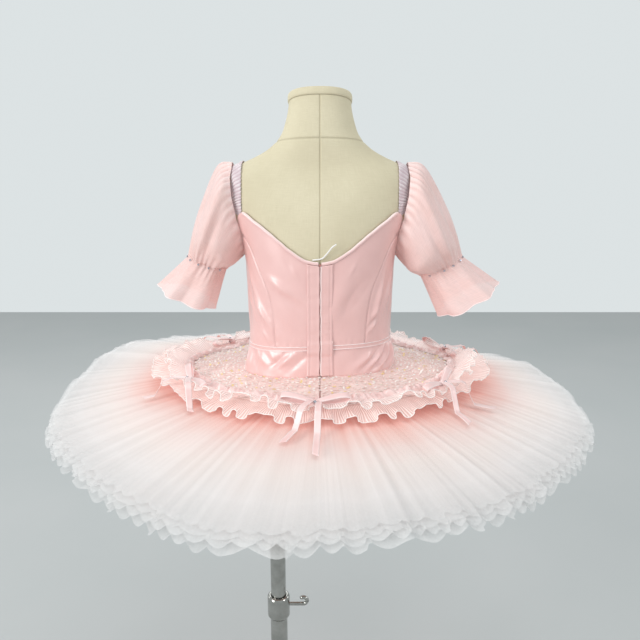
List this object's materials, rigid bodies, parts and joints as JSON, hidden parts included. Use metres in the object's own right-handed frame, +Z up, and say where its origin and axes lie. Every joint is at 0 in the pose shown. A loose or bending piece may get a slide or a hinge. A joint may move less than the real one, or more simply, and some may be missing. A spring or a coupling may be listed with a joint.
{
  "type": "child's ballet tutu on a limbless dress form with a height-adjustable stand",
  "caption": "Pale pink child's ballet tutu with puff sleeves, satin bodice, sequinned plate and stiff net skirt on a linen dress form and chrome pole stand.",
  "frame": {"origin": "on the floor, under the crossing of the garment's centre plane and the dress form's upright axis; it lies on the base disc's flat underside, which is centred on the pole at x = 0.061", "axes": "+Z up; +Y towards the garment's back, where the zip is; the garment's front faces -Y; +X towards the wearer's right arm"},
  "size_m": [0.7344, 0.7008, 1.1018],
  "materials": {
    "pink_satin": "satin",
    "pink_chiffon": "matte",
    "white_net": "matte",
    "sequinned_lace": "satin",
    "linen_cover": "matte",
    "chrome": "polished"
  },
  "bodies": {
    "stand": {"stand_base": "chrome", "stand_lower_tube": "chrome", "stand_collar": "chrome"},
    "mast": {"form_pole": "chrome"},
    "clamp": {"clamp_screw": "chrome"},
    "form": {"basque_left": "pink_satin", "basque_right": "pink_satin", "bodice_back_left": "pink_satin", "bodice_back_right": "pink_satin", "bodice_front": "pink_satin", "bodice_side_back_left": "pink_satin", "bodice_side_back_right": "pink_satin", "bodice_side_front_left": "pink_satin", "bodice_side_front_right": "pink_satin", "bow_1": "pink_satin", "bow_2": "pink_satin", "bow_3": "pink_satin", "bow_4": "pink_satin", "bow_5": "pink_satin", "bow_6": "pink_satin", "briefs": "pink_satin", "briefs_gusset": "pink_satin", "cuff_left": "pink_chiffon", "cuff_right": "pink_chiffon", "elastic_end": "white_net", "form_neck_cap": "linen_cover", "form_socket": "chrome", "form_torso": "linen_cover", "frill_lower": "pink_chiffon", "frill_upper": "pink_chiffon", "lace_plate": "sequinned_lace", "neck_binding_back_left": "pink_satin", "neck_binding_back_right": "pink_satin", "neck_binding_front": "pink_satin", "net_layer_lower": "white_net", "net_layer_middle": "white_net", "net_layer_top": "white_net", "placket_left": "pink_satin", "placket_right": "pink_satin", "ruche": "pink_satin", "sleeve_left": "pink_chiffon", "sleeve_right": "pink_chiffon", "strap_left": "pink_chiffon", "strap_right": "pink_chiffon", "waist_binding": "pink_satin", "zip": "pink_satin"}
  },
  "joints": [
    {"name": "height_slide", "type": "slide", "parent": "stand", "child": "mast", "axis": [0, 0, 1], "range_m": [-0.14, 0.16]},
    {"name": "form_turn", "type": "hinge", "parent": "mast", "child": "form", "pos_m": [0.061, 0, 0.6], "axis": [0, 0, 1], "continuous": true},
    {"name": "clamp_turn", "type": "hinge", "parent": "stand", "child": "clamp", "pos_m": [0.04, 0, 0.3765], "axis": [-1, 0, 0], "range_deg": [0, 360]}
  ]
}
